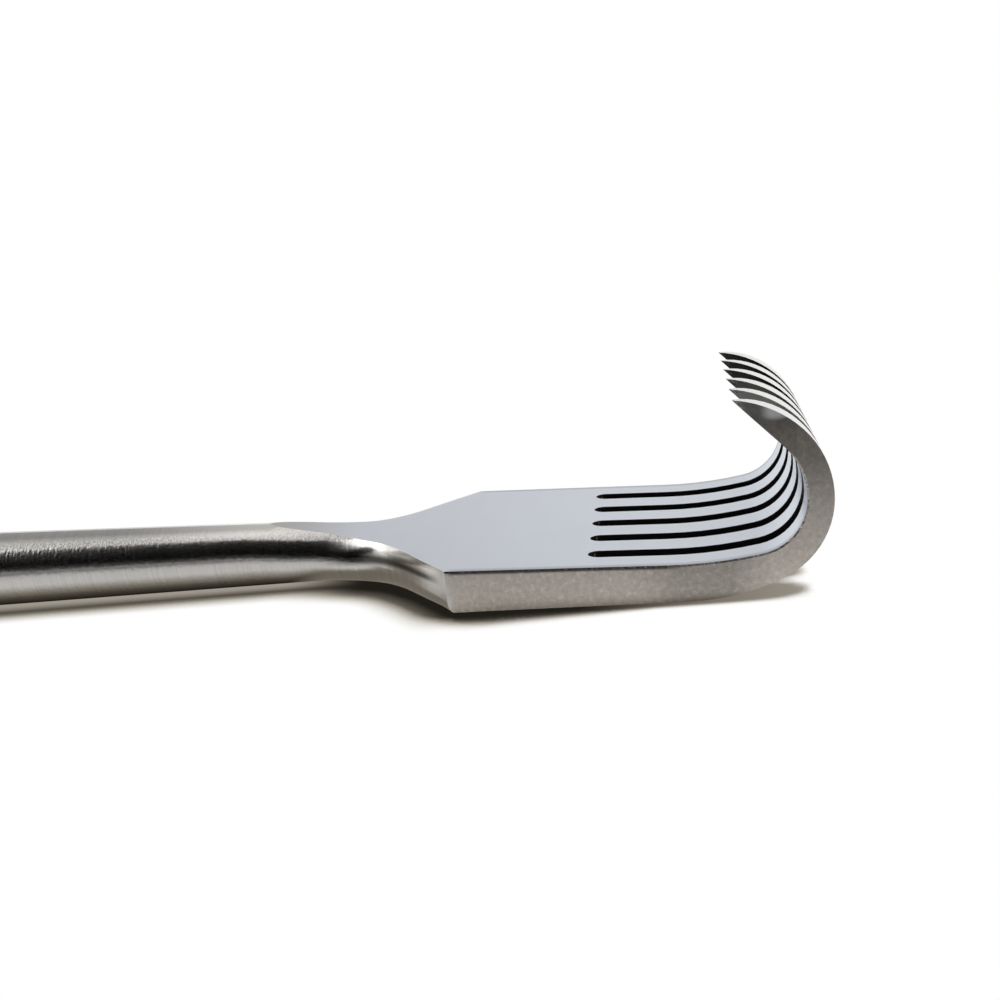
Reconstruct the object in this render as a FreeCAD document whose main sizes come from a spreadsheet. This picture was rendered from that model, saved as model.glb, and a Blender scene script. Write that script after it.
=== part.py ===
import FreeCAD, Part
import math
import os

import Sketcher
from FreeCAD import Placement, Rotation, Vector

# Six-tined rake retractor: a forged head brazed to a turned shank and a forged loop handle.
# The pieces are drawn along the instrument's own axis, X towards the tines, with the slot
# roots at x = 0. At the end they are laid on the plane z = 0, the way it rests on a table.

# Driving dimensions in millimetres and degrees
SIZES = {
    # Plate and saw slots
    "blade_width": 28.0,
    "root_thickness": 3.55,
    "underside_taper": 1.3,
    "blade_drop": 1.5,
    "blade_rise": 1.2,
    "shoulder_back": 12.25,
    "slot_width": 1.95,
    "slot_point": 1.05,
    # Hook of the tines, seen from the side
    "hook_front": 21.3,
    "hook_middle": 5.5,
    "tine_thickness": 2.25,
    "lead_in_radius": 40.0,
    "bend_lift": 0.72,
    "inner_tine_radius": 6.6,
    "heel_lead_radius": 20.0,
    "heel_radius": 7.7,
    "back_radius": 8.55,
    "bevel_angle": 47.5,
    "point_length": 5.2,
    "point_width": 0.35,
    "point_level": 2.0,
    "edge_break_top": 0.08,
    "edge_break_side": 0.16,
    # Shoulder and round tail of the head
    "neck_diameter": 5.95,
    "shoulder_length": 14.5,
    "tail_length": 43.0,
    "tail_taper": 1.3,
    "flare_radius": 11.0,
    "flare_angle": 53.0,
    "flank_radius": 1.5,
    "belly_fullness": 0.35,
    "flat_start": 8.25,
    "run_out_angle": 6.0,
    "run_out_radius": 25.0,
    # Shank and brazed joints
    "shank_length": 54.0,
    "shank_end_diameter": 9.0,
    "spigot_diameter": 4.0,
    "spigot_length": 8.0,
    "spigot_clearance": 0.05,
    "socket_spare": 0.4,
    "braze_thickness": 0.3,
    # Loop handle
    "handle_neck_length": 12.0,
    "loop_length": 69.0,
    "loop_end_radius": 16.0,
    "loop_front_radius": 6.5,
    "loop_bar_width": 6.0,
    "loop_nose_radius": 2.5,
    "loop_height": 7.0,
    "loop_bevel": 1.6,
    "rest_angle": 1.25,
}
TINE_COUNT = 6
FLARE_SECTIONS = 8

# Where the arcs of a slot's end and of a ground point pass, as shares of its length and width
SLOT_BULGE = (0.35, 0.75)
POINT_BULGE = (0.45, 0.38)
# Largest corner radius of a shoulder section, as shares of its height and half width
MOST_CORNER_HEIGHT = 0.48
MOST_CORNER_WIDTH = 0.92
# Angle, either side of each quarter of a circle, that turns into a flat side of a section
CIRCLE_LAND_ANGLE = 6
# How far the handle's neck ends inside the loop, as a share of the loop's bevel
NECK_INSET = 0.15
# How far a cut runs past the solid, and how close two points are that touch, in millimetres
CUT_PAST = 1.0
TOUCHING = 1e-4

doc = FreeCAD.newDocument("rake_retractor")
sheet = doc.addObject("Spreadsheet::Sheet", "sizes")
for row, (alias, value) in enumerate(SIZES.items(), start=1):
    sheet.set(f"A{row}", alias)
    sheet.set(f"B{row}", str(value))
    sheet.setAlias(f"B{row}", alias)
doc.recompute()


def size(name):
    return float(sheet.get(name))


def bind(thing, path, expression):
    """Tie a property or a named sketch constraint to cells of the sheet."""
    words = expression.replace("(", " ( ").replace(")", " ) ").split()
    thing.setExpression(path, " ".join("sizes." + w if w in SIZES else w for w in words))


def check(thing):
    bad = [word for word in thing.State if word in ("Invalid", "Error")]
    if bad or thing.Shape.isNull() or not thing.Shape.isValid():
        raise RuntimeError(f"{thing.Label} did not build: {thing.State}")


# Points of the side view

def turned(angle):
    """Unit vector at an angle in degrees from +X."""
    return Vector(math.cos(math.radians(angle)), math.sin(math.radians(angle)), 0)


def tangent(angle):
    return math.tan(math.radians(angle))


def on_axis(point):
    """Blade coordinates (along and above the top face) to the instrument's axis."""
    drop = -size("blade_drop")
    return turned(drop) * point.x + turned(drop + 90) * point.y + Vector(0, size("blade_rise"), 0)


def blade_arc(centre, radius, start, end):
    """Arc in blade coordinates, as three points about the instrument's axis."""
    return [on_axis(centre + turned(a) * radius) for a in (start, (start + end) / 2, end)]


def lead_in(height, small, large):
    """From the start of a large arc on a line, along that line, to the tangent small arc's centre."""
    return math.sqrt((height - small) * (2 * large - small - height))


def underside(along):
    """Point of the plate's underside, in blade coordinates."""
    return Vector(along, along * tangent(size("underside_taper")) - size("root_thickness"), 0)


def heel_lead_centre():
    """Centre of the large arc that leads from the underside into the heel."""
    taper = size("underside_taper")
    radius = size("heel_lead_radius")
    offset = Vector(size("hook_front") - size("heel_radius"), size("hook_middle"), 0) - underside(0)
    height = offset.dot(turned(taper + 90))
    start = offset.dot(turned(taper)) - lead_in(height, size("heel_radius"), radius)
    return underside(0) + turned(taper) * start + turned(taper + 90) * radius


def bevel_start():
    front = size("hook_front") - size("tine_thickness")
    centre = Vector(front - size("inner_tine_radius"), size("hook_middle"), 0)
    return centre + turned(size("bevel_angle")) * size("inner_tine_radius")


def tip_point():
    """Where the bevel on the inner face meets the back of the tine, in blade coordinates."""
    back = Vector(size("hook_front") - size("back_radius"), size("hook_middle"), 0)
    along = turned(size("bevel_angle") + 90)
    offset = bevel_start() - back
    middle = offset.dot(along)
    reach = math.sqrt(middle ** 2 + size("back_radius") ** 2 - offset.dot(offset)) - middle
    return bevel_start() + along * reach


def angle_of(vector):
    return math.degrees(math.atan2(vector.y, vector.x))


def top_face(x):
    """Height of the ground top face over the instrument's axis."""
    return on_axis(Vector()).y - x * tangent(size("blade_drop"))


def low_face(x):
    """Height of the plate's underside over the instrument's axis."""
    root = on_axis(underside(0))
    return root.y + (x - root.x) * tangent(size("underside_taper") - size("blade_drop"))


def hook_outline():
    """The plate and one tine from the side: a closed chain of lines and arcs."""
    front = size("hook_front")
    middle = size("hook_middle")
    inner_front = front - size("tine_thickness")
    bend_radius = middle - size("bend_lift")
    bend = Vector(inner_front - bend_radius, middle, 0)
    tine = Vector(inner_front - size("inner_tine_radius"), middle, 0)
    back = Vector(front - size("back_radius"), middle, 0)
    heel = Vector(front - size("heel_radius"), middle, 0)
    lead = size("lead_in_radius")
    lead_centre = Vector(bend.x - lead_in(middle, bend_radius, lead), lead, 0)
    heel_lead = heel_lead_centre()
    bend_start = angle_of(bend - lead_centre)
    heel_start = angle_of(heel - heel_lead)
    tip = tip_point()

    x = plate_station()
    top_start = Vector(x, top_face(x), 0)
    low_start = Vector(x, low_face(x), 0)
    inner = [
        blade_arc(lead_centre, lead, -90, bend_start),
        blade_arc(bend, bend_radius, bend_start, 0),
        blade_arc(tine, size("inner_tine_radius"), 0, size("bevel_angle")),
    ]
    outer = [
        blade_arc(back, size("back_radius"), angle_of(tip - back), 0),
        blade_arc(heel, size("heel_radius"), 0, heel_start),
        blade_arc(heel_lead, size("heel_lead_radius"), heel_start, size("underside_taper") - 90),
    ]
    return [
        [top_start, inner[0][0]],
        *inner,
        [inner[-1][-1], on_axis(tip)],
        *outer,
        [outer[-1][-1], low_start],
        [low_start, top_start],
    ]


# Stations along the axis

def shoulder_station():
    return -size("shoulder_back")


def plate_station():
    """Where the shoulder's rounded flanks have run out of the plate's width."""
    return shoulder_station() + 2 * size("flank_radius") / tangent(size("flare_angle"))


def neck_station():
    return shoulder_station() - size("shoulder_length")


def tail_station():
    return neck_station() - size("tail_length")


def shank_start():
    return tail_station() - size("braze_thickness")


def shank_end():
    return shank_start() - size("shank_length")


def handle_station():
    return shank_end() - size("braze_thickness")


def tail_radius(x):
    return size("neck_diameter") / 2 + (neck_station() - x) * tangent(size("tail_taper"))


def flare_half_width(x):
    """Plan outline of the shoulder: a hollow arc out of the neck, then a straight flank."""
    slope = size("flare_angle")
    radius = size("flare_radius")
    neck = size("neck_diameter") / 2
    corner = (size("blade_width") + size("flank_radius") / 2) / 2
    arc_width = radius * (1 - turned(slope).x)
    arc_end = shoulder_station() - (corner - neck - arc_width) / tangent(slope)
    arc_start = arc_end - radius * turned(slope).y
    if x >= arc_end:
        return neck + arc_width + (x - arc_end) * tangent(slope)
    past = max(x - arc_start, 0)
    return neck + radius - math.sqrt(radius ** 2 - past ** 2)


def table_height(x):
    """Height, over the instrument's axis, of the table that the heel rests on."""
    lean = size("rest_angle")
    down = turned(size("blade_drop") + lean - 90)
    contact = on_axis(heel_lead_centre() + down * size("heel_lead_radius"))
    return contact.y + (x - contact.x) * tangent(lean)


# Bodies and sketches

def make_body(label):
    body = doc.addObject("PartDesign::Body", label)
    body.Label = label
    return body


def origin(body, role):
    return next(f for f in body.Origin.OriginFeatures if f.Role == role)


def make_sketch(body, name, role, edges, offset=Placement()):
    """Sketch on an origin plane: lines as two points, arcs as three, joined at their ends."""
    sketch = body.newObject("Sketcher::SketchObject", name)
    sketch.AttachmentSupport = (origin(body, role), "")
    sketch.MapMode = "FlatFace"
    sketch.AttachmentOffset = offset
    for edge in edges:
        geometry = Part.Arc(*edge) if len(edge) == 3 else Part.LineSegment(*edge)
        sketch.addGeometry(geometry, False)
    join_ends(sketch)
    return sketch


def join_ends(sketch):
    """Coincident constraints where two edges of a chain meet."""
    ends = [(i, place, sketch.getPoint(i, place)) for i in range(len(sketch.Geometry)) for place in (1, 2)]
    for first, (index, place, point) in enumerate(ends):
        for other, other_place, other_point in ends[first + 1:]:
            if other != index and point.distanceToPoint(other_point) < TOUCHING:
                sketch.addConstraint(Sketcher.Constraint("Coincident", index, place, other, other_place))
                break


def circle_sketch(body, name, x, expression):
    """Circle round the instrument's axis, its diameter tied to the sheet."""
    sketch = make_sketch(body, name, "YZ_Plane", [], Placement(Vector(0, 0, x), Rotation()))
    sketch.addGeometry(Part.Circle(Vector(), Vector(0, 0, 1), size("spigot_diameter")), False)
    sketch.addConstraint(Sketcher.Constraint("Coincident", 0, 3, -1, 1))
    sketch.addConstraint(Sketcher.Constraint("Diameter", 0, 2 * size("spigot_diameter")))
    sketch.renameConstraint(1, "round")
    bind(sketch, "Constraints.round", expression)
    return sketch


def chain(points):
    return [[a, b] for a, b in zip(points, points[1:] + points[:1])]


def revolve(body, name, outline):
    """Solid turned about the instrument's axis from (station, radius) corners."""
    solid = body.newObject("PartDesign::Revolution", name)
    corners = [Vector(x, radius, 0) for x, radius in outline]
    solid.Profile = make_sketch(body, name + "_outline", "XZ_Plane", chain(corners))
    solid.ReferenceAxis = (origin(body, "X_Axis"), "")
    solid.Angle = 360
    doc.recompute()
    check(solid)
    return solid


def cut(body, name, role, edges, offset=Placement(), one_side=False):
    """Pocket through everything, both ways or only along the sketch's normal."""
    before = body.Shape.Volume
    pocket = body.newObject("PartDesign::Pocket", name)
    pocket.Profile = make_sketch(body, name + "_outline", role, edges, offset)
    pocket.Type = "ThroughAll"
    pocket.SideType = "One side" if one_side else "Symmetric"
    pocket.Reversed = one_side
    doc.recompute()
    check(pocket)
    if pocket.Shape.Volume >= before:
        raise RuntimeError(f"{name} cuts nothing")
    return pocket


def cut_row(body, name, edges, count, level=None):
    """One vertical cut, repeated across the blade at the tines' pitch."""
    pitch = (size("blade_width") + size("slot_width")) / TINE_COUNT
    first = Vector(0, -(count - 1) / 2 * pitch, 0)
    shifted = [[p + first for p in edge] for edge in edges]
    offset = Placement(Vector(0, 0, level or 0), Rotation())
    pocket = cut(body, name, "XY_Plane", shifted, offset, level is not None)
    row = body.newObject("PartDesign::LinearPattern", name + "_row")
    row.Originals = [pocket]
    row.Direction = (origin(body, "Y_Axis"), "")
    row.Mode = "Spacing"
    bind(row, "Offset", f"( blade_width + slot_width ) / {TINE_COUNT}")
    row.Occurrences = count
    body.Tip = row
    doc.recompute()
    check(row)
    if row.Shape.Volume >= pocket.Shape.Volume:
        raise RuntimeError(f"{name} isn't repeated")


def bore_socket(body, name, x, inwards):
    """Blind socket for a spigot in an end face at x; inwards is +1 or -1 along X."""
    socket = body.newObject("PartDesign::Pocket", name)
    socket.Profile = circle_sketch(body, name + "_circle", x, "spigot_diameter + 2 * spigot_clearance")
    socket.Type = "Length"
    socket.Reversed = inwards > 0
    bind(socket, "Length", "spigot_length + socket_spare - braze_thickness")
    before = body.Shape.Volume
    doc.recompute()
    check(socket)
    if socket.Shape.Volume >= before:
        raise RuntimeError(f"{name} cuts nothing")


def rounded_section(half_width, bottom, top, low_radius, top_radius):
    """Rounded rectangle as eight edges, from its top left corner round by the bottom."""
    edges = []
    for side, up in ((-1, 1), (-1, -1), (1, -1), (1, 1)):
        level = top if up > 0 else bottom
        radius = top_radius if up > 0 else low_radius
        mid = radius * (1 - math.sqrt(0.5))
        flat_end = Vector(side * (half_width - radius), level, 0)
        bend = Vector(side * (half_width - mid), level - up * mid, 0)
        side_end = Vector(side * half_width, level - up * radius, 0)
        edges.append([flat_end, bend, side_end] if side * up < 0 else [side_end, bend, flat_end])
    joined = []
    for edge, following in zip(edges, edges[1:] + edges[:1]):
        joined += [edge, [edge[-1], following[0]]]
    return joined


def round_section(radius):
    """A circle as eight arcs that match the rounded rectangle's edges."""
    turns = (CIRCLE_LAND_ANGLE, 90 - CIRCLE_LAND_ANGLE)
    stops = [quarter + a for quarter in (90, 180, 270, 360) for a in turns]
    spans = zip(stops, stops[1:] + [stops[0] + 360])
    return [[turned(a) * radius for a in (start, (start + end) / 2, end)] for start, end in spans]


def loft(body, name, sections):
    """Smooth solid through (station, outline) sections across the axis."""
    sketches = []
    for index, (x, outline) in enumerate(sections):
        offset = Placement(Vector(0, 0, x), Rotation())
        sketches.append(make_sketch(body, f"{name}_section_{index}", "YZ_Plane", outline, offset))
    solid = body.newObject("PartDesign::AdditiveLoft", name)
    solid.Profile = sketches[0]
    solid.Sections = sketches[1:]
    doc.recompute()
    check(solid)


# The head

def shoulder_sections():
    """From the neck's circle to the plate's section, full height over the ground flat."""
    neck = neck_station()
    end = plate_station()
    top = size("neck_diameter") / 2
    sections = [(neck, round_section(top))]
    for index in range(1, FLARE_SECTIONS):
        x = neck + (end - neck) * index / (FLARE_SECTIONS - 1)
        half_width = flare_half_width(x)
        widened = (half_width - top) / (size("blade_width") / 2 - top)
        passed = min((x - neck) / size("shoulder_length"), 1)
        climbed = passed ** 3 * (4 - 3 * passed)
        bottom = low_face(x) * climbed - top * (1 - climbed)
        radius = top + (size("flank_radius") - top) * widened
        radius = min(radius, (top - bottom) * MOST_CORNER_HEIGHT, half_width * MOST_CORNER_WIDTH)
        low_radius = radius * (1 - size("belly_fullness") * passed)
        sections.append((x, rounded_section(half_width, bottom, top, low_radius, radius)))
    return sections


def ground_flat_edges():
    """Side view of what the grinding of the top face takes off the shoulder and neck."""
    x = shoulder_station() - size("flat_start")
    radius = size("run_out_radius")
    turn = size("run_out_angle")
    square = 90 - size("blade_drop")
    start = Vector(x, top_face(x), 0)
    centre = start + turned(square) * radius
    sweep = [centre - turned(square - a) * radius for a in (0, turn / 2, turn)]
    clear = size("neck_diameter")
    rise = clear - sweep[2].y
    over_neck = Vector(sweep[2].x - rise / tangent(90 - square + turn), clear, 0)
    beyond = plate_station() + CUT_PAST
    return [
        sweep,
        [sweep[2], over_neck],
        [over_neck, Vector(beyond, clear, 0)],
        [Vector(beyond, clear, 0), Vector(beyond, top_face(beyond), 0)],
        [Vector(beyond, top_face(beyond), 0), start],
    ]


def ground_side_edges():
    """Plan view of what the grinding of both side faces takes off the shoulder."""
    half = size("blade_width") / 2
    start = neck_station()
    end = plate_station() + CUT_PAST
    edges = []
    for side in (-1, 1):
        corners = [(start, half), (end, half), (end, 2 * half), (start, 2 * half)]
        edges += chain([Vector(x, side * y, 0) for x, y in corners])
    return edges


def slot_edges():
    """Plan view of a saw slot, pointed where the saw ran out."""
    half = size("slot_width") / 2
    point = size("slot_point")
    beyond = size("hook_front") + size("tine_thickness")
    shoulders = [Vector(point, side * half, 0) for side in (1, -1)]
    ends = [Vector(beyond, side * half, 0) for side in (1, -1)]
    along, across = SLOT_BULGE
    bulges = [Vector(point * along, side * half * across, 0) for side in (1, -1)]
    return [
        [Vector(), bulges[0], shoulders[0]],
        [shoulders[0], ends[0]],
        ends,
        [ends[1], shoulders[1]],
        [shoulders[1], bulges[1], Vector()],
    ]


def point_edges():
    """Plan view of what is ground off between two tines to point them."""
    pitch = (size("blade_width") + size("slot_width")) / TINE_COUNT
    narrow = size("slot_width") / 2
    wide = (pitch - size("point_width")) / 2
    length = size("point_length")
    tip = on_axis(tip_point()).x
    starts = [Vector(tip + length, side * narrow, 0) for side in (1, -1)]
    along, across = POINT_BULGE
    bulge_half = narrow + across * (wide - narrow)
    bulges = [Vector(tip + along * length, side * bulge_half, 0) for side in (1, -1)]
    tips = [Vector(tip, side * wide, 0) for side in (1, -1)]
    ends = [Vector(tip - narrow, side * wide, 0) for side in (1, -1)]
    return [
        [starts[0], bulges[0], tips[0]],
        [tips[0], ends[0]],
        ends,
        [ends[1], tips[1]],
        [tips[1], bulges[1], starts[1]],
        [starts[1], starts[0]],
    ]


def break_top_edges(body, plate):
    """Small bevel from the shoulder round the hook's inside, where side and top faces meet."""
    inside = hook_outline()[2][1]
    half = size("blade_width") / 2
    spots = [Part.Vertex(inside.x, side * half, inside.y) for side in (-1, 1)]
    edges = []
    for index, edge in enumerate(plate.Shape.Edges, start=1):
        if min(edge.distToShape(spot)[0] for spot in spots) < TOUCHING:
            edges.append(f"Edge{index}")
    bevel = body.newObject("PartDesign::Chamfer", "broken_edges")
    bevel.Base = (plate, edges)
    bevel.ChamferType = "Two distances"
    bind(bevel, "Size", "edge_break_top")
    bind(bevel, "Size2", "edge_break_side")
    doc.recompute()
    check(bevel)
    if len(edges) != len(spots):
        raise RuntimeError(f"{len(edges)} edges found inside the bend")


def make_head():
    body = make_body("rake_head")
    tail = tail_station()
    neck = neck_station()
    revolve(body, "tail", [(neck, 0), (neck, tail_radius(neck)), (tail, tail_radius(tail)), (tail, 0)])
    loft(body, "shoulder", shoulder_sections())
    cut(body, "ground_flat", "XZ_Plane", ground_flat_edges())
    cut(body, "ground_sides", "XY_Plane", ground_side_edges())

    plate = body.newObject("PartDesign::Pad", "plate_and_hook")
    plate.Profile = make_sketch(body, "hook_outline", "XZ_Plane", hook_outline())
    plate.SideType = "Symmetric"
    bind(plate, "Length", "blade_width")
    doc.recompute()
    check(plate)
    break_top_edges(body, plate)

    cut_row(body, "slot", slot_edges(), TINE_COUNT - 1)
    over_bend = on_axis(Vector(0, size("hook_middle") + size("point_level"), 0)).y
    cut_row(body, "point", point_edges(), TINE_COUNT + 1, over_bend)
    bore_socket(body, "spigot_socket", tail, 1)
    return body


# The shank and the brazed joints

def make_shank():
    """Turned taper bar with a locating spigot on each end."""
    body = make_body("shank")
    spigot = size("spigot_diameter") / 2
    front = shank_start()
    back = shank_end()
    revolve(body, "bar", [
        (front + size("spigot_length"), 0),
        (front + size("spigot_length"), spigot),
        (front, spigot),
        (front, tail_radius(tail_station())),
        (back, size("shank_end_diameter") / 2),
        (back, spigot),
        (back - size("spigot_length"), spigot),
        (back - size("spigot_length"), 0),
    ])
    return body


def make_braze(label, start, radius):
    """Ring of braze between two end faces, round the spigot."""
    body = make_body(label)
    inner = size("spigot_diameter") / 2 + size("spigot_clearance")
    end = start - size("braze_thickness")
    revolve(body, "ring", [(start, inner), (start, radius), (end, radius), (end, inner)])
    return body


# The loop handle

def hull_edges(near, near_radius, far, far_radius):
    """Outline round two circles on the centre line and their outer tangents."""
    lean = math.degrees(math.asin((far_radius - near_radius) / (near - far)))
    near_centre = Vector(near, 0, 0)
    far_centre = Vector(far, 0, 0)
    near_arc = [near_centre + turned(a) * near_radius for a in (lean - 90, 0, 90 - lean)]
    far_arc = [far_centre + turned(a) * far_radius for a in (90 - lean, 180, lean - 90)]
    return [near_arc, [near_arc[2], far_arc[0]], far_arc, [far_arc[2], near_arc[0]]]


def loop_edges():
    """Plan view of the loop, from the centre of its front end."""
    front = size("loop_front_radius")
    end = size("loop_end_radius")
    bar = size("loop_bar_width")
    reach = size("loop_length") - front - end
    nose = (size("loop_nose_radius") - front + bar) / (end - front) * reach
    outer = hull_edges(0, front, -reach, end)
    inner = hull_edges(-nose, size("loop_nose_radius"), -reach, end - bar)
    return outer + inner


def make_handle():
    body = make_body("handle_loop")
    face = handle_station()
    front = face - size("handle_neck_length")
    height = size("loop_height")
    lean = Rotation(Vector(0, 1, 0), -size("rest_angle"))
    flat_on_table = Placement(Vector(front, 0, table_height(front)), lean)
    loop = body.newObject("PartDesign::Pad", "loop")
    loop.Profile = make_sketch(body, "loop_outline", "XY_Plane", loop_edges(), flat_on_table)
    bind(loop, "Length", "loop_height")
    doc.recompute()
    check(loop)

    normal = lean.multVec(Vector(0, 0, 1))
    rims = []
    for index, edge in enumerate(loop.Shape.Edges, start=1):
        span = edge.lastVertex().Point - edge.firstVertex().Point
        if abs(span.dot(normal)) < height / 2:
            rims.append(f"Edge{index}")
    bevel = body.newObject("PartDesign::Chamfer", "bevelled_bar")
    bevel.Base = (loop, rims)
    bind(bevel, "Size", "loop_bevel")
    doc.recompute()
    check(bevel)

    radius = size("shank_end_diameter") / 2
    inset = size("loop_bevel") * NECK_INSET
    sections = [(face, round_section(radius))]
    bottom = table_height(front) + inset
    top = bottom + height - 2 * inset
    corner = size("loop_bevel")
    half_width = size("loop_front_radius") - inset
    sections.append((front, rounded_section(half_width, bottom, top, corner, corner)))
    loft(body, "neck", sections)
    bore_socket(body, "spigot_socket", face, -1)
    return body


# Laid on the table

def lay_down(bodies):
    """Turn the instrument onto its heel and loop, with the origin under its middle."""
    lean = Rotation(Vector(0, 1, 0), size("rest_angle"))
    drop = lean.multVec(Vector(0, 0, table_height(0)))
    for body in bodies:
        body.Placement = Placement(Vector(-drop.x, 0, -drop.z), lean)
    doc.recompute()
    boxes = [body.Shape.optimalBoundingBox(False) for body in bodies]
    middle = (min(box.XMin for box in boxes) + max(box.XMax for box in boxes)) / 2
    for body in bodies:
        body.Placement = Placement(Vector(-drop.x - middle, 0, -drop.z), lean)
    doc.recompute()


pieces = [
    make_head(),
    make_shank(),
    make_braze("head_braze", tail_station(), tail_radius(tail_station())),
    make_braze("handle_braze", shank_end(), size("shank_end_diameter") / 2),
    make_handle(),
]
lay_down(pieces)
for thing in doc.Objects:
    if [word for word in thing.State if word in ("Invalid", "Error")]:
        raise RuntimeError(f"{thing.Label} is {thing.State}")
os.makedirs("parts", exist_ok=True)
for piece in pieces:
    check(piece)
    piece.Shape.exportStep(f"parts/{piece.Label}.step")
    print(piece.Label, round(piece.Shape.Volume, 1), "mm3", len(piece.Shape.Solids), "solid")
print("slot roots at", pieces[0].Placement.multVec(Vector(0, 0, on_axis(Vector()).y)))
print("gap under the neck", round(-size("neck_diameter") / 2 - table_height(neck_station()), 3))
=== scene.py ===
import math

import bpy
from bpy.props import FloatProperty, FloatVectorProperty, PointerProperty
from bpy.types import Operator, Panel, PropertyGroup
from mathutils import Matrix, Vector


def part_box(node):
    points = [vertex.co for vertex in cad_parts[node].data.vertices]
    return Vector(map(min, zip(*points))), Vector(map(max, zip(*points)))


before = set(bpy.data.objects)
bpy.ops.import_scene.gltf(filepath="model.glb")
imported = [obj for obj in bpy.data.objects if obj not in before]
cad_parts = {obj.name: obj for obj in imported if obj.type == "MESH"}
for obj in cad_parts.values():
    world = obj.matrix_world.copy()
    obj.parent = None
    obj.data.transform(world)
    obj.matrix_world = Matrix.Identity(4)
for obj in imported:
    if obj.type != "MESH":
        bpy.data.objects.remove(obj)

bl_info = {
    "name": "Rake Retractor Finish",
    "version": (1, 0, 0),
    "blender": (4, 5, 0),
    "location": "View3D > Sidebar > Retractor",
    "description": "Steel finishes, studio and camera for a rigid six-tined rake retractor",
    "category": "Object",
}

# The instrument lies along X with its tines at +X, its plane of symmetry is y = 0, and the
# table is z = 0. Shader positions are in millimetres of that frame.
MILLIMETRES = 1000

# Places on the head, in millimetres. The edge is the plate's top edge on its sides, which falls
# by EDGE_FALL for each millimetre along X.
PLATE_HALF_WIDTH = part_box("rake_head")[1].y * MILLIMETRES
PLATE_START = 76.0
EDGE_START = 76.2
EDGE_HEIGHT = 4.22
EDGE_FALL = 0.0483
# Where the painted dark streak of shade runs along the shoulder's flank
CREASE_HEIGHT = 3.15
CREASE_HALF_WIDTH = 1.1
CREASE_NARROWING = 0.65
LEAN_HEIGHT = 4.75
# Where the painted glint on the side of the hook lies
GLINT_X = 105.6
GLINT_Z = 16.2
GLINT_HALF_LENGTH = 2.0
GLINT_HALF_HEIGHT = 0.9

# Stops along the instrument and up the hook are shares of these lengths, in millimetres
RAMP_LENGTH = 110
RAMP_HEIGHT = 20

# Colours that no user would change
WHITE = (1.0, 1.0, 1.0, 1.0)
BLACK = (0.0, 0.0, 0.0, 1.0)
# Painted shade of the dark streak along the shoulder's flank
CREASE_SHADE_TINT = (0.02, 0.02, 0.015, 1.0)
# Painted highlight on the backs of the tines
TINE_HIGHLIGHT_TINT = (0.97, 0.97, 0.95, 1.0)
TABLE_TINT = (0.8, 0.8, 0.8, 1.0)

# The stage, in metres. The cards' ends and the window's distance are in card distances, and the
# window's corners are the two angles of toward, in degrees.
TABLE_REACH = 4.0
NEAREST_SEEN = 0.005
CARD_END = 3.0
DARK_CARD_RIGHT_END = 0.4
WINDOW_DISTANCE = 0.8
WINDOW_CORNERS = ((-36, 44), (-80, 38), (-80, 76), (-16, 76))
ROOM_LIGHT = 0.6


# Sizes and colours that a user would change

class FinishSettings(PropertyGroup):
    satin_tint: FloatVectorProperty(
        name="Satin tint", description="Colour of the blasted top face and of the tines' faces",
        subtype="COLOR", size=3, min=0, max=1, default=(0.636, 0.668, 0.725))
    side_tint: FloatVectorProperty(
        name="Side tint", description="Colour of the ground side faces of the plate and hook",
        subtype="COLOR", size=3, min=0, max=1, default=(0.60, 0.55, 0.50))
    # The slot walls' colour is dark as painted shade between the tines
    slot_shade_tint: FloatVectorProperty(
        name="Slot tint", description="Colour of the sawn walls between the tines",
        subtype="COLOR", size=3, min=0, max=1, default=(0.16, 0.16, 0.15))
    bar_tint: FloatVectorProperty(
        name="Bar tint", description="Colour of the brushed round bar, shoulder and handle",
        subtype="COLOR", size=3, min=0, max=1, default=(0.457, 0.443, 0.424))
    braze_tint: FloatVectorProperty(
        name="Braze tint", description="Colour of the silver braze in the joints",
        subtype="COLOR", size=3, min=0, max=1, default=(0.66, 0.60, 0.47))
    ring_pitch: FloatProperty(
        name="Ring pitch", description="Distance between the brushed rings round the bar, in millimetres",
        min=0.05, max=2, default=0.25)
    ring_depth: FloatProperty(
        name="Ring depth", description="Height of the brushed rings",
        subtype="DISTANCE", unit="LENGTH", min=0, max=0.001, default=0.00002)
    mottle_size: FloatProperty(
        name="Mottle size", description="Size of the cloudy patches on the side faces, in millimetres",
        min=0.1, max=5, default=0.5)


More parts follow.
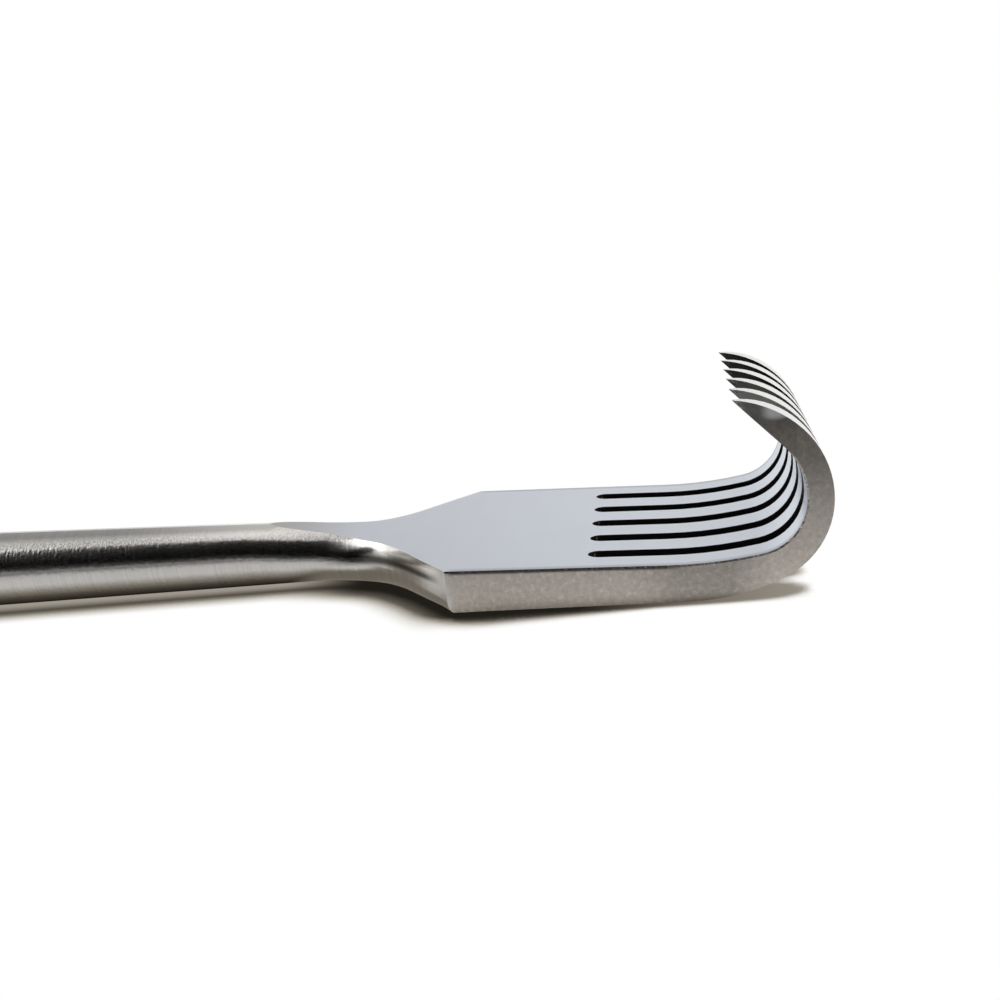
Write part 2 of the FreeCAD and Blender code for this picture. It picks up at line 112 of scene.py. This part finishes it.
class StudioSettings(PropertyGroup):
    lens: FloatProperty(
        name="Lens", description="Focal length of the camera in millimetres",
        min=10, max=300, default=50.323)
    frame_shift: FloatProperty(
        name="Frame shift", description="Upward shift of the frame, in frame widths", default=0.04075)
    camera_place: FloatVectorProperty(
        name="Camera place", description="Where the camera stands",
        subtype="TRANSLATION", unit="LENGTH", size=3, default=(0.097535, -0.130227, 0.040841))
    camera_turn: FloatVectorProperty(
        name="Camera turn", description="Tilt, roll and heading of the camera",
        subtype="EULER", unit="ROTATION", size=3,
        default=(math.radians(73.7427), math.radians(6.3587), math.radians(6.0131)))
    window_level: FloatProperty(
        name="Window level", description="Brightness of the window to the left, 1 is white",
        min=0, max=5, default=2.4)
    dark_card_level: FloatProperty(
        name="Dark card level", description="Brightness of the dark card low in front",
        min=0, max=1, default=0.04)
    grey_card_level: FloatProperty(
        name="Grey card level", description="Brightness of the grey card behind the object",
        min=0, max=1, default=0.5)
    card_distance: FloatProperty(
        name="Card distance", description="Distance of the cards from the object",
        subtype="DISTANCE", unit="LENGTH", min=0.2, max=3, default=0.6)
    front_dimming: FloatProperty(
        name="Front dimming", description="How much darker the steel sees the table in front than under it",
        subtype="FACTOR", min=0, max=1, default=0.85)
    shadow_reach: FloatProperty(
        name="Shadow reach", description="How far the contact shadow looks for the object",
        subtype="DISTANCE", unit="LENGTH", min=0.001, max=0.1, default=0.0045)
    shadow_tint: FloatVectorProperty(
        name="Shadow tint", description="Colour cast of the contact shadow",
        subtype="COLOR", size=3, min=0, max=1, default=(1.0, 0.88, 0.68))


# Shader maths

class Value:
    """A socket in Python sums: every operator adds its Math node."""

    def __init__(self, book, socket):
        self.book = book
        self.socket = socket

    def math(self, operation, *others):
        operands = dict(enumerate((self, *others)))
        return self.book.value("ShaderNodeMath", 0, {"operation": operation}, operands)

    def __add__(self, other):
        return self.math("ADD", other)

    __radd__ = __add__

    def __sub__(self, other):
        return self.math("SUBTRACT", other)

    def __rsub__(self, other):
        return (self * -1) + other

    def __mul__(self, other):
        return self.math("MULTIPLY", other)

    __rmul__ = __mul__

    def __truediv__(self, other):
        return self.math("DIVIDE", other)

    def __pow__(self, other):
        return self.math("POWER", other)

    def __abs__(self):
        return self.math("ABSOLUTE")

    def larger(self, other):
        """The larger one of the two."""
        return self.math("MAXIMUM", other)

    def above(self, start, end):
        """0 below start, 1 above end, and a smooth step between."""
        settings = {"interpolation_type": "SMOOTHSTEP", "clamp": True}
        sockets = {"Value": self, "From Min": start, "From Max": end, "To Min": 0.0, "To Max": 1.0}
        return self.book.value("ShaderNodeMapRange", 0, settings, sockets)

    def blend(self, other, share):
        """This value at share 0, the other at share 1, and in proportion between."""
        return self + (other - self) * share


class NodeBook:
    """The nodes of one material or world."""

    def __init__(self, owner):
        owner.use_nodes = True
        self.tree = owner.node_tree
        self.tree.nodes.clear()

    def node(self, kind, settings=None, sockets=None):
        """Adds a node: its settings and ramp stops first, then its sockets' values or links."""
        node = self.tree.nodes.new(kind)
        for name, setting in (settings or {}).items():
            if name == "stops":
                self.set_stops(node.color_ramp, setting)
            else:
                setattr(node, name, setting)
        for key, value in (sockets or {}).items():
            socket = value.socket if isinstance(value, Value) else value
            if isinstance(socket, bpy.types.NodeSocket):
                self.tree.links.new(socket, node.inputs[key])
            else:
                node.inputs[key].default_value = socket
        return node

    def set_stops(self, ramp, stops):
        while len(ramp.elements) > 1:
            ramp.elements.remove(ramp.elements[-1])
        ramp.elements[0].position, ramp.elements[0].color = stops[0]
        for position, colour in stops[1:]:
            ramp.elements.new(position).color = colour

    def value(self, kind, output, settings=None, sockets=None):
        return Value(self, self.node(kind, settings, sockets).outputs[output])

    def position(self):
        """Place on the object, in millimetres."""
        return self.scaled(self.node("ShaderNodeTexCoord").outputs["Object"], MILLIMETRES)

    def split(self, vector):
        parts = self.node("ShaderNodeSeparateXYZ", None, {0: vector})
        return [Value(self, output) for output in parts.outputs]

    def scaled(self, vector, factor):
        """A vector or a colour times one factor."""
        sockets = {0: vector, "Scale": factor}
        return self.node("ShaderNodeVectorMath", {"operation": "SCALE"}, sockets).outputs[0]

    def stretched(self, vector, factors):
        """A vector times one factor for each axis."""
        sockets = {0: vector, 1: factors}
        return self.node("ShaderNodeVectorMath", {"operation": "MULTIPLY"}, sockets).outputs[0]

    def noise(self, vector, scale, detail=2.0, roughness=0.5):
        sockets = {"Vector": vector, "Scale": scale, "Detail": detail, "Roughness": roughness}
        return self.value("ShaderNodeTexNoise", 0, None, sockets)

    def ramp(self, factor, stops):
        """Level on the straight lines between (position, level) stops."""
        greys = [(position, (level, level, level, 1.0)) for position, level in stops]
        return self.value("ShaderNodeValToRGB", 0, {"stops": greys}, {0: factor})

    def mix(self, factor, low, high):
        """Colour between low and high."""
        settings = {"data_type": "RGBA", "clamp_factor": True}
        return self.node("ShaderNodeMix", settings, {0: factor, 6: low, 7: high}).outputs[2]

    def bump(self, height, distance):
        sockets = {"Height": height, "Distance": distance, "Strength": 1.0}
        return self.node("ShaderNodeBump", None, sockets).outputs[0]


def colour(tint, share=1.0):
    return (*(part * share for part in tint), 1.0)


def new_material(name):
    material = bpy.data.materials.new(name)
    return material, NodeBook(material)


def steel_shader(book, base, roughness, normal):
    """Metallic shader as the material's surface."""
    sockets = {"Base Color": base, "Metallic": 1.0, "Roughness": roughness, "Normal": normal}
    shader = book.node("ShaderNodeBsdfPrincipled", None, sockets)
    book.node("ShaderNodeOutputMaterial", None, {"Surface": shader.outputs[0]})


def dress(node_name, material):
    """Gives a CAD node its finish."""
    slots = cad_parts[node_name].data.materials
    slots.clear()
    slots.append(material)


def brushed_rings(book, place, pitch):
    """Fine rings round the bar, uneven in depth: from 0 to 1."""
    fine = book.noise(book.stretched(place, (1 / pitch, 0.06, 0.06)), 1.0, 1.5, 0.6)
    broad = book.noise(book.stretched(place, (0.3 / pitch, 0.15, 0.15)), 1.0, 2.0, 0.5)
    return fine * 0.75 + broad * 0.25


def scratches(book, place):
    """Short scratches that cross the rings."""
    return book.noise(book.stretched(place, (3.2, 2.0, 2.0)), 1.0, 1.0, 0.5) * 0.9


def long_haze(book, place):
    """Soft clouds, longest along the instrument: from 0 to 1."""
    return book.noise(book.stretched(place, (0.05, 0.12, 0.12)), 1.0, 2.0)


def brushed_roughness(rings):
    return 0.18 + rings * 0.06


def streaked_bar(book, place, haze, rings, finish):
    """Colour of the brushed bar: streaked from ring to ring, and speckled with painted sparkle along its
    upper flanks.
    """
    smooth_z = book.split(book.node("ShaderNodeNewGeometry").outputs["Normal"])[2]
    upper_flank = smooth_z.above(0.45, 0.6) * (1 - smooth_z.above(0.78, 0.9))
    # Painted sparkle: light and dark flecks where the upper flanks turn
    painted_sparkle = book.noise(book.stretched(place, (7.0, 4.5, 4.5)), 1.0, 1.0) - 0.5
    share = haze * 0.4 + rings * 0.6 + painted_sparkle * upper_flank * 3.0
    return book.mix(share, colour(finish.bar_tint, 0.72), colour(finish.bar_tint, 1.28))


# The head

def head_material(finish):
    material, book = new_material("head steel")
    place = book.position()
    x, y, z = book.split(place)
    geometry = book.node("ShaderNodeNewGeometry")
    normal_x, normal_y, normal_z = book.split(geometry.outputs["True Normal"])
    smooth_z = book.split(geometry.outputs["Normal"])[2]
    sideways = abs(normal_y)

    # Where each finish, painted highlight and painted shade lies: 1 there and 0 elsewhere
    ground_flat = (1 - sideways.above(0.015, 0.03)) * normal_z.above(0.9, 0.93) * x.above(46.0, 47.0)
    # Painted highlight along the top of the neck, where it faces upwards
    crown_highlight = smooth_z.above(0.6, 0.97) * x.above(40.0, 58.0)
    beyond_shoulder = x.above(PLATE_START, PLATE_START + 1.0)
    full_satin = beyond_shoulder * (1 - sideways.above(0.6, 0.8))
    satin = full_satin.larger(ground_flat * x.above(50.0, 60.0))
    flat = full_satin.larger(ground_flat)
    side = sideways.above(0.8, 0.95) * beyond_shoulder
    broken_edge = sideways.above(0.84, 0.87) * (1 - sideways.above(0.92, 0.95)) * beyond_shoulder
    on_shoulder = 1 - x.above(PLATE_START - 2.5, PLATE_START)
    # Painted shade: a dark streak along the shoulder's flank, narrowing towards the plate
    off_crease = abs(z - CREASE_HEIGHT) / (CREASE_HALF_WIDTH - x.above(62.0, 74.0) * CREASE_NARROWING)
    crease_shade = on_shoulder * x.above(61.0, 66.0) * (1 - off_crease.above(0.15, 1.0))
    # Painted highlight high on the shoulder's flank
    shoulder_highlight = on_shoulder * x.above(65.0, 69.0) * z.above(3.5, 4.0)
    inside = 1 - abs(y).above(PLATE_HALF_WIDTH - 0.6, PLATE_HALF_WIDTH - 0.3)
    slot_end = normal_x.above(0.3, 0.6) * x.above(85.0, 86.0) * (1 - x.above(92.0, 93.0))
    slot_wall = inside * side.larger(slot_end)

    # What varies over the steel
    rings = brushed_rings(book, place, finish.ring_pitch)
    cloud = book.noise(place, 1 / finish.mottle_size, 4.0, 0.65)
    haze = long_haze(book, place)
    wear = cloud.above(0.3, 0.7) * 0.22 + book.noise(place, 2.2, 3.0).above(0.5, 0.75) * 0.22 + 0.85

    # Ground side faces: painted shade, darker round the bend and up the hook, a painted dark line of
    # uneven width along under the plate's top edge, and a painted glint near the tip of the hook
    along_plate_shade = book.ramp(
        x / RAMP_LENGTH, ((0.8, 0.84), (0.84, 0.82), (0.88, 0.6), (0.92, 0.58), (0.955, 0.9)))
    up_hook_shade = book.ramp(
        z / RAMP_HEIGHT, ((0.3, 0.97), (0.4, 0.91), (0.5, 0.78), (0.6, 0.62), (0.7, 0.58), (0.79, 0.42)))
    ground_level = along_plate_shade.blend(up_hook_shade, z.above(4.0, 7.0)) * wear
    # Painted shade: a dark line just under the top edge of the side faces
    under_edge = EDGE_HEIGHT - (x - EDGE_START) * EDGE_FALL - z
    painted_edge_shade = (under_edge / (haze * 0.36 + 0.12)).above(0.0, 1.0) * 0.85 + 0.15
    ground_level = ground_level * painted_edge_shade.blend(1.0, x.above(95.0, 98.0))
    ground = book.mix(ground_level, BLACK, colour(finish.side_tint))
    # Painted glint: the side faces turn white in a small patch near the tip
    from_glint = ((x - GLINT_X) / GLINT_HALF_LENGTH) ** 2 + ((z - GLINT_Z) / GLINT_HALF_HEIGHT) ** 2
    ground = book.mix(1 - from_glint.above(0.0, 1.0), ground, WHITE)

    # Sawn walls: painted shade, dark in the slots, and painted light up the tines of the -Y side
    near_tine_light = (1 - y.above(-14.0, 2.0)) * z.above(6.0, 10.0)
    slot_shade_level = near_tine_light.blend(0.0, y.above(-4.0, 8.0)) * 0.96 + 0.04
    outer_tip = 1 - y.above(-13.4, -12.2)
    slot_shade_level = slot_shade_level * (1 - outer_tip * (1 - wear * 0.5))
    # The slot walls' colour: painted shade in the far slots, painted light up the near tines
    sawn = book.mix(slot_shade_level, colour(finish.slot_shade_tint, 0.2), colour(finish.slot_shade_tint, 3.0))

    # Satin top: like the bar where the flat starts, brighter towards the tines, with a painted highlight
    # on the backs of the tines and painted shade along the plate's rims
    top = book.mix(haze, colour(finish.satin_tint, 0.97), colour(finish.satin_tint, 1.02))
    bright_top = book.mix(haze, colour(finish.satin_tint, 1.11), colour(finish.satin_tint, 1.17))
    top = book.mix(x.above(64.0, 92.0), top, bright_top)
    top = book.mix(x.above(57.0, 67.0), colour(finish.bar_tint, 1.03), top)
    # Painted highlight: the backs of the tines turn near white
    tine_back_highlight = z.above(8.5, 11.0) * normal_z.above(0.1, 0.3)
    top = book.mix(tine_back_highlight, top, TINE_HIGHLIGHT_TINT)
    # Painted shade along the plate's rims on the top face
    plate_rim_shade = abs(y).above(PLATE_HALF_WIDTH - 1.1, PLATE_HALF_WIDTH - 0.1) * (1 - z.above(6.0, 9.0))
    top = book.mix(plate_rim_shade * beyond_shoulder * 0.35, top, BLACK)

    # Each finish in its place, over the brushed bar, with painted highlights along the top of the neck
    # and high on the shoulder, and a painted dark streak of shade along the shoulder's flank
    bar = streaked_bar(book, place, haze, rings, finish)
    base = book.mix(crown_highlight, bar, colour(finish.bar_tint, 2.0))
    base = book.mix(shoulder_highlight, base, colour(finish.bar_tint, 1.9))
    base = book.mix(crease_shade * 0.9, base, CREASE_SHADE_TINT)
    base = book.mix(flat, base, top)
    base = book.mix(side, base, ground)
    base = book.mix(slot_wall, base, sawn)

    grain = book.noise(place, 7.0, 3.0, 0.6)
    brushed = (1 - satin.larger(side)) * (1 - x.above(57.0, 63.0) * 0.8)
    roughness = brushed_roughness(rings) + satin * 0.16 + side * 0.2
    height = (rings + scratches(book, place)) * brushed + (satin + side) * grain * 0.1 + side * cloud * 0.2
    height = height + broken_edge * book.noise(place, 3.0, 1.0) * 6

    # The bump also falls with height where the neck runs into the shoulder, which leans the
    # shading upwards there
    leaning = (x.above(54.0, 61.0) * 6.5 + x.above(60.0, 64.0) * 3.5) * (1 - x.above(65.0, 68.0))
    height = height - leaning * (z - LEAN_HEIGHT)
    steel_shader(book, base, roughness, book.bump(height, finish.ring_depth))
    return material


class RETRACTOR_OT_finish_head(Operator):
    """Satin plate, ground sides, sawn slots and brushed neck on the rake head, with painted highlights and
    painted shade
    """
    bl_idname = "retractor.finish_head"
    bl_label = "Finish the Head"

    def execute(self, context):
        dress("rake_head", head_material(context.scene.retractor_finish))
        return {"FINISHED"}


# The bar

def bar_material(finish):
    material, book = new_material("bar steel")
    place = book.position()
    rings = brushed_rings(book, place, finish.ring_pitch)
    base = streaked_bar(book, place, long_haze(book, place), rings, finish)
    height = rings + scratches(book, place)
    steel_shader(book, base, brushed_roughness(rings), book.bump(height, finish.ring_depth))
    return material


class RETRACTOR_OT_finish_shank(Operator):
    """Brushed steel on the turned shank"""
    bl_idname = "retractor.finish_shank"
    bl_label = "Finish the Shank"

    def execute(self, context):
        dress("shank", bar_material(context.scene.retractor_finish))
        return {"FINISHED"}


# The handle

def handle_material(finish):
    material, book = new_material("handle steel")
    place = book.position()
    grain = book.noise(book.stretched(place, (0.5, 2.0, 2.0)), 1.0, 4.0, 0.65)
    haze = book.noise(place, 0.12, 2.0)
    base = book.mix(haze, colour(finish.bar_tint, 0.93), colour(finish.bar_tint, 1.04))
    steel_shader(book, base, 0.24 + grain * 0.08, book.bump(grain, finish.ring_depth * 0.12))
    return material


class RETRACTOR_OT_finish_handle(Operator):
    """Satin polished steel on the loop handle"""
    bl_idname = "retractor.finish_handle"
    bl_label = "Finish the Handle"

    def execute(self, context):
        dress("handle_loop", handle_material(context.scene.retractor_finish))
        return {"FINISHED"}


# The brazed joints

def braze_material(finish):
    material, book = new_material("silver braze")
    place = book.position()
    pits = book.noise(place, 4.0, 3.0, 0.6)
    base = book.mix(pits, colour(finish.braze_tint, 0.85), colour(finish.braze_tint, 1.08))
    steel_shader(book, base, 0.26 + pits * 0.12, book.bump(pits, finish.ring_depth * 0.2))
    return material


class RETRACTOR_OT_finish_joints(Operator):
    """Silver braze in the joints at both ends of the shank"""
    bl_idname = "retractor.finish_joints"
    bl_label = "Finish the Brazed Joints"

    def execute(self, context):
        material = braze_material(context.scene.retractor_finish)
        for name in ("head_braze", "handle_braze"):
            dress(name, material)
        return {"FINISHED"}


# The stage

def seen_directly(book):
    """1 where the camera, a reflection or a refraction looks, and 0 for light on a matt surface."""
    path = book.node("ShaderNodeLightPath")
    names = ("Is Camera Ray", "Is Glossy Ray", "Is Transmission Ray")
    camera, glossy, through = (Value(book, path.outputs[name]) for name in names)
    return camera.larger(glossy).larger(through)


def sheet_object(name, corners, material):
    """Flat sheet through its corners, part of the stage."""
    mesh = bpy.data.meshes.new(name)
    mesh.from_pydata(corners, [], [tuple(range(len(corners)))])
    sheet = bpy.data.objects.new(name, mesh)
    bpy.context.scene.collection.objects.link(sheet)
    mesh.materials.append(material)
    return sheet


def floor_material(studio):
    """White table that keeps the object's contact shadow."""
    material, book = new_material("white table")
    x, y = book.split(book.position())[:2]
    glossy = Value(book, book.node("ShaderNodeLightPath").outputs["Is Glossy Ray"])
    widths = ((0.52, 1.0), (0.58, 1.15), (0.68, 1.0), (0.73, 1.0), (0.86, 0.45), (0.93, 0.45), (0.98, 0.6))
    reach = studio.shadow_reach * book.ramp(x / RAMP_LENGTH, widths)
    openness = book.value("ShaderNodeAmbientOcclusion", "AO", {"samples": 16}, {"Distance": reach})

    # The shadow fades in its own way under each part, and the steel mirrors another one under the
    # bar than the camera sees
    seen_under_bar = book.ramp(
        openness, ((0.05, 0.36), (0.38, 0.07), (0.53, 0.2), (0.65, 0.55), (0.86, 1.0)))
    mirrored_under_bar = book.ramp(
        openness, ((0.15, 0.02), (0.38, 0.14), (0.53, 0.38), (0.65, 0.6), (0.86, 1.0)))
    under_bar = seen_under_bar.blend(mirrored_under_bar, glossy)
    under_shoulder = book.ramp(
        openness, ((0.5, 0.015), (0.7, 0.11), (0.85, 0.66), (0.97, 1.0)))
    under_plate = book.ramp(
        openness, ((0.5, 0.015), (0.66, 0.04), (0.73, 0.11), (0.77, 0.36), (0.83, 0.68), (0.93, 1.0)))
    lit = under_bar.blend(under_shoulder, x.above(57.0, 66.0)).blend(under_plate, x.above(73.0, 77.0))
    lit = lit.larger(x.above(84.0, 112.0) * 0.32)
    lit = lit.larger(glossy * x.above(57.0, 62.0) * 0.3)

    in_front = (y * -1).above(6.0, 60.0)
    level = lit * (1 - glossy * in_front * studio.front_dimming)
    tint = book.mix(lit, colour(studio.shadow_tint), WHITE)
    glow = book.node("ShaderNodeEmission", None, {"Color": book.scaled(tint, level), "Strength": 1.0})
    matt = book.node("ShaderNodeBsdfDiffuse", None, {"Color": TABLE_TINT})
    shaders = {0: seen_directly(book), 1: matt.outputs[0], 2: glow.outputs[0]}
    surface = book.node("ShaderNodeMixShader", None, shaders)
    book.node("ShaderNodeOutputMaterial", None, {"Surface": surface.outputs[0]})
    return material


def card_material(name, level):
    material, book = new_material(name)
    glow = book.node("ShaderNodeEmission", None, {"Strength": level})
    book.node("ShaderNodeOutputMaterial", None, {"Surface": glow.outputs[0]})
    return material


def toward(side, around, distance):
    """Point at a distance from the object, in the direction of two angles in degrees.

    The angle around is 0 in front, 90 overhead and 180 behind, and side leans to +X.
    """
    side = math.radians(side)
    around = math.radians(around)
    across = Vector((0, -math.cos(around), math.sin(around))) * math.cos(side)
    return (across + Vector((math.sin(side), 0, 0))) * distance


def stand_card(name, corners, level):
    """Card that only the steel sees."""
    card = sheet_object(name, corners, card_material(name.replace("_", " "), level))
    card.visible_camera = False


def long_card(name, start, end, level, studio, right_end=CARD_END):
    """Card along the instrument, between two angles around it."""
    low = toward(0, start, studio.card_distance)
    high = toward(0, end, studio.card_distance)
    ends = ((-CARD_END, low), (right_end, low), (right_end, high), (-CARD_END, high))
    corners = [(share * studio.card_distance, point.y, point.z) for share, point in ends]
    stand_card(name, corners, level)


def light_world(strength):
    """White room: white where it is seen, and of this strength where it lights a matt surface."""
    world = bpy.data.worlds.new("white room")
    book = NodeBook(world)
    level = seen_directly(book) * (1 - strength) + strength
    sky = book.node("ShaderNodeBackground", None, {"Color": WHITE, "Strength": level})
    book.node("ShaderNodeOutputWorld", None, {"Surface": sky.outputs[0]})
    bpy.context.scene.world = world


class RETRACTOR_OT_set_stage(Operator):
    """White table, white room, and the window and the cards that the steel reflects"""
    bl_idname = "retractor.set_stage"
    bl_label = "Set the Stage"

    def execute(self, context):
        studio = context.scene.retractor_studio
        signs = ((-1, -1), (1, -1), (1, 1), (-1, 1))
        corners = [(x * TABLE_REACH, y * TABLE_REACH, 0) for x, y in signs]
        sheet_object("table", corners, floor_material(studio))

        # The dark cards end soon after the tines, so that the top isn't black from behind
        long_card("dark_card", 3, 16, studio.dark_card_level, studio, DARK_CARD_RIGHT_END)
        long_card("black_card", 16, 73, 0.0, studio, DARK_CARD_RIGHT_END)
        long_card("pale_card", 101, 114, (1 + studio.grey_card_level) / 2, studio)
        long_card("grey_card", 114, 157, studio.grey_card_level, studio)
        window_distance = studio.card_distance * WINDOW_DISTANCE
        window = [toward(side, around, window_distance) for side, around in WINDOW_CORNERS]
        stand_card("window", window, studio.window_level)
        light_world(ROOM_LIGHT)
        context.scene.view_settings.view_transform = "Standard"
        return {"FINISHED"}


class RETRACTOR_OT_place_camera(Operator):
    """Camera low in front of the tines"""
    bl_idname = "retractor.place_camera"
    bl_label = "Place the Camera"

    def execute(self, context):
        studio = context.scene.retractor_studio
        lens = bpy.data.cameras.new("camera")
        lens.lens = studio.lens
        lens.shift_y = studio.frame_shift
        lens.clip_start = NEAREST_SEEN
        camera = bpy.data.objects.new("camera", lens)
        camera.location = studio.camera_place
        camera.rotation_euler = studio.camera_turn
        context.scene.collection.objects.link(camera)
        context.scene.camera = camera
        return {"FINISHED"}


OPERATORS = (
    RETRACTOR_OT_set_stage,
    RETRACTOR_OT_place_camera,
    RETRACTOR_OT_finish_head,
    RETRACTOR_OT_finish_shank,
    RETRACTOR_OT_finish_handle,
    RETRACTOR_OT_finish_joints,
)


class RETRACTOR_PT_panel(Panel):
    """Finishes and studio of the retractor"""
    bl_idname = "RETRACTOR_PT_panel"
    bl_label = "Rake Retractor"
    bl_space_type = "VIEW_3D"
    bl_region_type = "UI"
    bl_category = "Retractor"

    def draw(self, context):
        for settings in (context.scene.retractor_finish, context.scene.retractor_studio):
            box = self.layout.box()
            for name in settings.__annotations__:
                box.prop(settings, name)
        for operator in OPERATORS:
            self.layout.operator(operator.bl_idname)


CLASSES = (FinishSettings, StudioSettings, *OPERATORS, RETRACTOR_PT_panel)


def register():
    for cls in CLASSES:
        bpy.utils.register_class(cls)
    bpy.types.Scene.retractor_finish = PointerProperty(type=FinishSettings)
    bpy.types.Scene.retractor_studio = PointerProperty(type=StudioSettings)


def unregister():
    del bpy.types.Scene.retractor_studio
    del bpy.types.Scene.retractor_finish
    for cls in reversed(CLASSES):
        bpy.utils.unregister_class(cls)


def main():
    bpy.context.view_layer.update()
    register()
    for operator in OPERATORS:
        category, name = operator.bl_idname.split(".")
        getattr(getattr(bpy.ops, category), name)()


if __name__ == "__main__":
    main()
